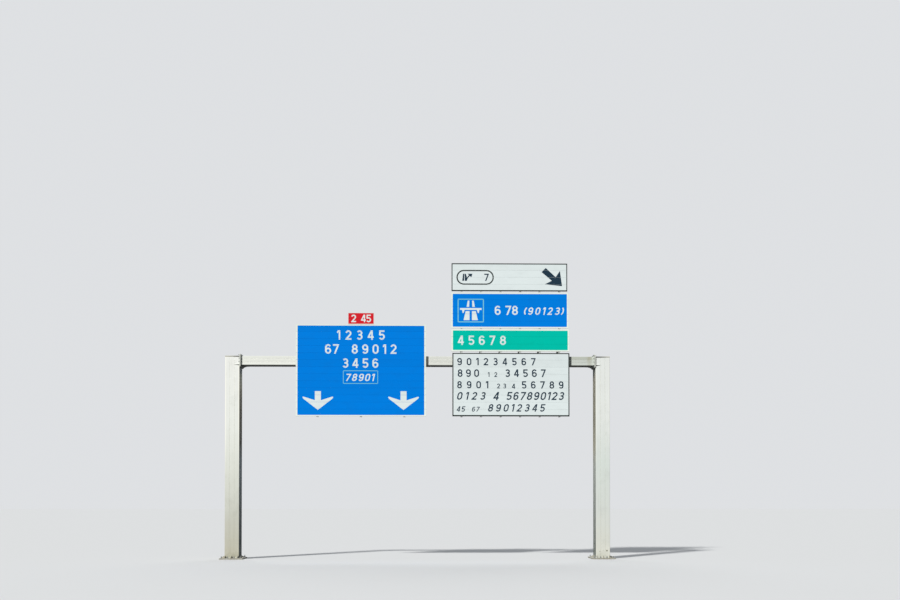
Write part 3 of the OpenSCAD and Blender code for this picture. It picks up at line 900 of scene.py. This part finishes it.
def bead(build, path, sides, radius, closed=False):
    """Weld bead with ripples along a path. sides gives the two directions of the corner at each point."""
    pitch = 0.011
    points, frames = [], []
    spans = list(zip(edges(path), edges(sides)))
    if not closed:
        spans.pop()
    for (a, b), (first, second) in spans:
        a, b = Vector(a), Vector(b)
        count = max(1, round((b - a).length / pitch))
        for i in range(count):
            t = i / count
            points.append(a.lerp(b, t))
            frames.append([Vector(u).lerp(Vector(v), t).normalized() for u, v in zip(first, second)])
    if not closed:
        points.append(Vector(path[-1]))
        frames.append([Vector(v) for v in sides[-1]])
    section = ((-0.25, -0.25), (1, -0.2), (0.86, 0.34), (0.58, 0.62), (0.34, 0.86), (-0.2, 1))
    rings = []
    for i, (point, (u, v)) in enumerate(zip(points, frames)):
        swell = radius * (1 + 0.1 * (i % 2) + 0.05 * sin(i * 1.7))
        rings += [tuple(point + u * (a * swell) + v * (b * swell)) for a, b in section]
    n, total = len(section), len(rings)
    faces = [[a + k, (a + n) % total + k, (a + n) % total + (k + 1) % n, a + (k + 1) % n]
             for a in range(0, total if closed else total - n, n) for k in range(n)]
    if not closed:
        faces += [range(n), range(total - n, total)]
    build.add(rings, faces)


def seam(build, start, end, first, second, radius):
    """A straight bead"""
    bead(build, [start, end], [(first, second)] * 2, radius)


def ring(build, centre, half_a, half_b, axis_a, axis_b, along, radius):
    """A bead round a rounded rectangle, in the corner towards along"""
    a, b = Vector(axis_a), Vector(axis_b)
    path, sides = [], []
    for turn_a, turn_b, start in CORNERS:
        corner = Vector(centre) + a * (turn_a * (half_a - CORNER_R)) + b * (turn_b * (half_b - CORNER_R))
        for step in range(5):
            angle = radians(start + 22.5 * step)
            way = a * cos(angle) + b * sin(angle)
            path.append(corner + way * CORNER_R)
            sides.append((way, along))
    bead(build, path, sides, radius, True)


def make_welds(side, turn, metal):
    """Beads round the foot of a post and that end of the beam, and along flange, gussets and haunch"""
    build = Build()
    down, inward, outward = (0, 0, -1), (-turn, 0, 0), (turn, 0, 0)
    low, high, centre, half = box(side + "_post")
    ring(build, (centre.x, 0, low.z), half.x, half.y, (1, 0, 0), (0, 1, 0), UP, POST_BEAD)
    flange_low, flange_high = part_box(side + "_beam_flange")
    seat = flange_low.x if turn > 0 else flange_high.x
    beam_low, _, beam_middle, beam_half = box("beam")
    ring(build, (seat, 0, beam_middle.z), beam_half.y, beam_half.z, (0, 1, 0), UP, inward, BEAM_BEAD)
    x = low.x if turn > 0 else high.x
    gusset_z = beam_low.z + GUSSET_UP
    haunch_low, haunch_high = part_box(side + "_haunch")
    root = haunch_high.z
    for j in (-1, 1):
        y, ahead = j * half.y, (0, j, 0)
        seam(build, (x, y, flange_low.z), (x, y, high.z), ahead, outward, FLANGE_BEAD)
        seam(build, (x, y, gusset_z), (x + turn * GUSSET_L, y, gusset_z), ahead, UP, GUSSET_BEAD)
        seam(build, (x, y, gusset_z), (x, j * flange_high.y, gusset_z), outward, UP, GUSSET_BEAD)
        y = j * haunch_high.y
        seam(build, (haunch_low.x, y, root), (haunch_high.x, y, root), ahead, down, PLATE_BEAD)
        seam(build, (seat, y, haunch_low.z), (seat, y, root), ahead, inward, PLATE_BEAD)
    seam(build, (x, -half.y, flange_low.z), (x, half.y, flange_low.z), inward, down, FLANGE_BEAD)
    build.finish(side + "_welds", [metal], smooth=True)


def make_foot_welds(side, metal):
    """Beads along both sides of each stiffener on a base plate"""
    build = Build()
    low, high, centre, half = box(side + "_foot_ribs")
    post = box(side + "_post")[3]
    for j, k in product((-1, 1), (-1, 1)):
        for x in FOOT_RIBS_X:
            edge = centre.x + x + k * FOOT_RIB_T / 2
            seam(build, (edge, j * post.y, low.z), (edge, j * high.y, low.z), (k, 0, 0), UP, PLATE_BEAD)
        near, far = centre.x + j * post.x, centre.x + j * half.x
        for y in FOOT_RIBS_Y:
            edge = y + k * FOOT_RIB_T / 2
            seam(build, (near, edge, low.z), (far, edge, low.z), (0, k, 0), UP, PLATE_BEAD)
    build.finish(side + "_foot_welds", [metal], smooth=True)


# Materials of the frame's own nodes
def dress(material, *names):
    for name in names:
        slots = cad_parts[name].data.materials
        slots.clear()
        slots.append(material)


RIGHT_FRONT = -0.43
right_stains = [(7.52, RIGHT_FRONT, 0.31, 0.03, 0.55), (7.66, RIGHT_FRONT, 0.36, 0.022, 0.35),
                (7.815, RIGHT_FRONT, 0.34, 0.045, 0.85)]
left_front = [(0.2, 197, 195, 179), (2, 208, 210, 201), (4, 227, 230, 223), (5.8, 236, 239, 235),
              (8, 241, 243, 240)]
# Tones of the inner faces: painted reflections of the surroundings, with a pale band near the top of the left
# one as painted light
left_inner_reflection = [(0.8, 126, 134, 135), (2.4, 142, 152, 152), (4, 166, 180, 187), (4.8, 115, 116, 107),
              (6.7, 158, 153, 136), (7.1, 242, 236, 213), (7.55, 250, 253, 235), (7.75, 190, 200, 203)]
right_front = [(0.2, 222, 223, 214), (2, 214, 219, 215), (4, 217, 225, 221), (5.8, 232, 236, 234),
               (8, 232, 236, 234)]
right_inner_reflection = [(0.5, 125, 131, 127), (3.9, 170, 175, 170), (4.7, 168, 165, 146), (5.75, 130, 127, 110),
               (7.6, 145, 142, 126), (7.8, 136, 147, 142)]
blue_supports = [f"blue_support_{i}" for i in (1, 2, 3)]
stack_supports = [f"stack_support_{i}" for i in range(1, 7)]
# The last two arguments give each post's painted highlight and its painted shade
dress(post_finish("left", 1, left_front, left_inner_reflection, [], 0.8, (0.16, 0.6, 0.6)), "left_post")
dress(post_finish("right", -1, right_front, right_inner_reflection, right_stains, 0.3, (0.55, 1, 1)), "right_post")
dress(beam_finish(), "beam")
dress(plate_finish("post_flange_aluminium", srgb(214, 218, 212)), "left_post_flange", "right_post_flange")
# The beam flanges are darker than the post flanges, and the left one most: painted shade
dress(plate_finish("left_beam_flange_shaded_aluminium", srgb(166, 169, 163)), "left_beam_flange")
dress(plate_finish("right_beam_flange_shaded_aluminium", srgb(192, 196, 189)), "right_beam_flange")
# The haunch plates take a dark tone, which is painted shade
dress(plate_finish("haunch_plate_shaded_aluminium", srgb(70, 76, 80), 0.7), "left_haunch", "right_haunch")
dress(cap_finish(), "left_post_cap", "right_post_cap")
dress(foot_finish(), "left_base", "right_base", "left_foot_ribs", "right_foot_ribs")
dress(support_finish(), *blue_supports, *stack_supports)
dress(galvanised("clamp_galvanised", srgb(166, 170, 170)), "blue_clamp_straps", "stack_clamp_straps")
dress(threaded_finish(), "blue_clamp_rods", "stack_clamp_rods")

blue = Sign("blue_panel", "direction", "sign_blue", FILM_BLUE)
route = Sign("route_plate", "route", "sign_red", FILM_RED)
exit_panel = Sign("exit_panel", "exit", "sign_white", FILM_WHITE)
motorway = Sign("motorway_panel", "motorway", "sign_blue", FILM_BLUE)
town = Sign("town_panel", "town", "sign_green", FILM_GREEN)
local = Sign("local_panel", "local", "sign_white", FILM_WHITE)
frame_metal = plate_finish("edge_frame_aluminium", srgb(216, 218, 210), 0.45)
dull_frame = plate_finish("dull_frame_aluminium", srgb(118, 122, 118))
back_metal = plank_back_finish()
for sign in (blue, route, exit_panel, motorway, town, local):
    dress(dull_frame if sign in (exit_panel, local) else frame_metal, sign.node + "_frame")
    make_planks(sign, back_metal)

make_film(blue, "border", "edge", border(blue, 0.073, 0.048, 0.048, 0.03))
make_film(blue, "arrows", "white", down_arrow(0.912) + down_arrow(4.437))
make_film(blue, "box", "line", rounded_box(1.957, 1.348, 3.374, 1.872, 0.008, 0.025))
make_film(blue, "figures", "white", figure_rows(
    ("12345", 1.698, 3.664, 3.156, 0.386), ("67", 1.206, 1.778, 2.576, 0.39),
    ("89012", 2.304, 4.146, 2.576, 0.388), ("3456", 1.918, 3.4, 1.996, 0.386),
    ("78901", 2.03, 3.268, 1.446, 0.306, True)))

make_film(route, "border", "edge", border(route, 0.01, 0.018, 0.006, 0.004))
make_film(route, "figures", "white", figure_rows(
    ("2", 0.126, 0.33, 0.084, 0.313), ("45", 0.529, 0.946, 0.084, 0.313)))

make_film(exit_panel, "border", "black", border(exit_panel, 0.039, 0.047, 0.043, 0.012))
make_film(exit_panel, "oval", "black", rounded_box(0.228, 0.29, 1.722, 0.853, 0.28, 0.053))
make_film(exit_panel, "marks", "dark", branch_symbol() + figure_rows(("7", 1.352, 1.545, 0.424, 0.3)))
make_film(exit_panel, "arrow", "dark", exit_arrow())

make_film(motorway, "border", "edge", border(motorway, 0.062, 0.054, 0.054, 0.03))
make_film(motorway, "square", "line", rounded_box(0.285, 0.255, 1.331, 1.191, 0.03, 0.04))
make_film(motorway, "symbol", "white", motorway_symbol())
make_film(motorway, "figures", "white", figure_rows(
    ("6", 1.802, 2.062, 0.547, 0.38), ("78", 2.24, 2.758, 0.547, 0.38),
    ("(90123)", 2.976, 4.706, 0.556, 0.306, True)))

make_film(town, "border", "edge", border(town, 0.065, 0.056, 0.056, 0.03))
make_film(town, "figures", "white", figure_rows(("45678", 0.268, 2.256, 0.268, 0.383)))

make_film(local, "border", "black", border(local, 0.044, 0.054, 0.04, 0.012))
make_film(local, "figures", "dark", figure_rows(
    ("901234567", 0.198, 3.441, 2.109, 0.302), ("890", 0.217, 1.1, 1.628, 0.315),
    ("12", 1.466, 1.85, 1.63, 0.192), ("34567", 2.175, 3.859, 1.627, 0.318),
    ("8901", 0.197, 1.484, 1.153, 0.302), ("23", 1.838, 2.22, 1.153, 0.2),
    ("4", 2.458, 2.634, 1.138, 0.212), ("56789", 2.864, 4.59, 1.148, 0.304),
    ("0123", 0.171, 1.399, 0.684, 0.318, True), ("4", 1.668, 2.005, 0.664, 0.345, True),
    ("567890123", 2.21, 4.649, 0.678, 0.33, True), ("45", 0.161, 0.547, 0.19, 0.222, True),
    ("67", 0.791, 1.137, 0.195, 0.2, True), ("89012345", 1.451, 3.861, 0.196, 0.31, True)))

bolt_steel = galvanised("bolt_galvanised", srgb(148, 152, 150))
weld_metal = weld_finish()
# The right bolts, which face the key sun, are toned darker than the left ones: painted shade
for (side, turn), tone in zip(SIDES, (srgb(154, 158, 156), srgb(132, 136, 134))):
    make_flange_bolts(side, turn, galvanised(side + "_bolt_galvanised", tone))
for side, turn in SIDES:
    make_anchors(side, bolt_steel)
make_clips("direction_clips", [blue], blue_supports, bolt_steel)
make_clips("route_clips", [route], blue_supports[1:2], bolt_steel)
make_clips("stack_clips", [exit_panel, motorway, town, local], stack_supports, bolt_steel)
for side, turn in SIDES:
    make_welds(side, turn, weld_metal)
for side, turn in SIDES:
    make_foot_welds(side, weld_metal)


# Floor, background and light
def split_by_ray(owner, shader, output, rays, seen, lit):
    """Gives a material or world a shader with the values in seen for the named rays, and with those in lit
    for all others"""
    tree = Tree(owner)
    tree.nodes.clear()
    path = tree.add("LightPath").outputs
    test = path[rays[0]]
    for ray in rays[1:]:
        test = tree.add("Math", test, path[ray], operation="MAXIMUM").outputs[0]
    both = [tree.add(shader, **values).outputs[0] for values in (lit, seen)]
    tree.add(output, tree.add("MixShader", test, *both).outputs[0])


def make_floor():
    """Floor that looks pale, and that keeps its light off the gantry"""
    half = FLOOR_SIZE / 2
    mesh = bpy.data.meshes.new("floor")
    mesh.from_pydata([(x, y, 0) for x, y in oblong(-half, -half, half, half)], [], [range(4)])
    floor = shown("floor", mesh)
    material = bpy.data.materials.new("floor_pale")
    split_by_ray(material, "BsdfDiffuse", "OutputMaterial", ["Is Camera Ray"],
                 {"Color": FLOOR_SEEN}, {"Color": FLOOR_LIT})
    mesh.materials.append(material)


def make_world():
    """Pale backdrop, with a sky that lights the gantry weakly"""
    world = bpy.data.worlds.new("studio")
    bpy.context.scene.world = world
    split_by_ray(world, "Background", "OutputWorld", ["Is Camera Ray", "Is Glossy Ray"],
                 {"Color": BACKDROP}, {"Color": SKY_COLOUR, "Strength": SKY_STRENGTH})


def make_sun(name, side, height, strength, softness, colour):
    """A sun whose light comes from side degrees to the left of the front, and from that height"""
    data = bpy.data.lights.new(name, "SUN")
    data.energy, data.angle, data.color = strength, radians(softness), colour
    side, height = radians(side), radians(height)
    towards = Vector((-sin(side) * cos(height), -cos(side) * cos(height), sin(height)))
    shown(name, data).rotation_euler = towards.to_track_quat("Z", "Y").to_euler()


def make_camera():
    data = bpy.data.cameras.new("camera")
    data.lens = LENS_MM
    data.sensor_width = SENSOR_MM
    data.shift_y = SHIFT_UP
    data.clip_end = VIEW_END
    camera = shown("camera", data)
    camera.location = CAMERA_PLACE
    camera.rotation_euler = (radians(90 + CAMERA_PITCH), 0, radians(-CAMERA_YAW))
    bpy.context.scene.camera = camera


make_camera()
make_floor()
make_world()
make_sun("key", *KEY_SUN)
make_sun("back", *BACK_SUN)
bpy.context.scene.view_settings.view_transform = "Standard"
